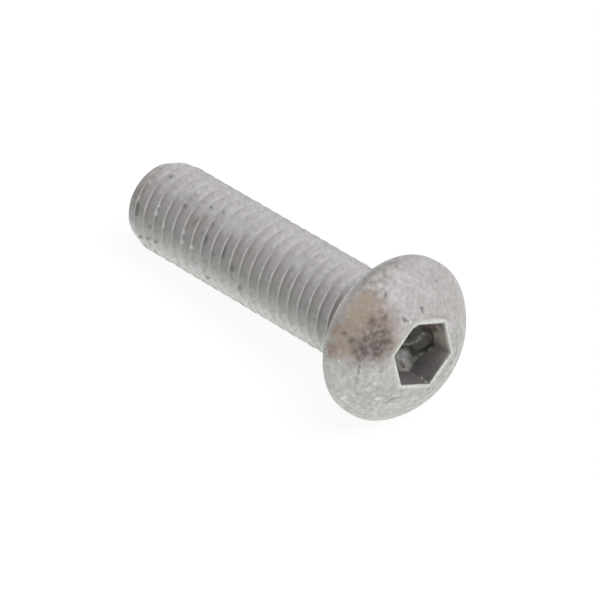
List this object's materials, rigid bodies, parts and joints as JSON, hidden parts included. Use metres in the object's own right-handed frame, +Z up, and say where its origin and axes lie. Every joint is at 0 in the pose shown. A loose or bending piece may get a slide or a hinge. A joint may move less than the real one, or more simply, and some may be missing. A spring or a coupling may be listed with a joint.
{
  "type": "brake disc screw",
  "caption": "Button-head hex socket screw with a metric right-hand thread along its whole shank, in dull coated steel.",
  "frame": {"origin": "the middle of the footprint, on the surface that the screw lies on", "axes": "+Z up from that surface; +X level, from the tip towards the head. The screw's own axis lies in the XZ plane and rises 6.16 degrees towards the head"},
  "size_m": [0.0342, 0.0138, 0.0139],
  "materials": {
    "coated_steel": "dull, mottled grey zinc-type coating, with wear at the edges"
  },
  "bodies": {
    "root": {"button_head_screw": "coated_steel"}
  },
  "joints": []
}
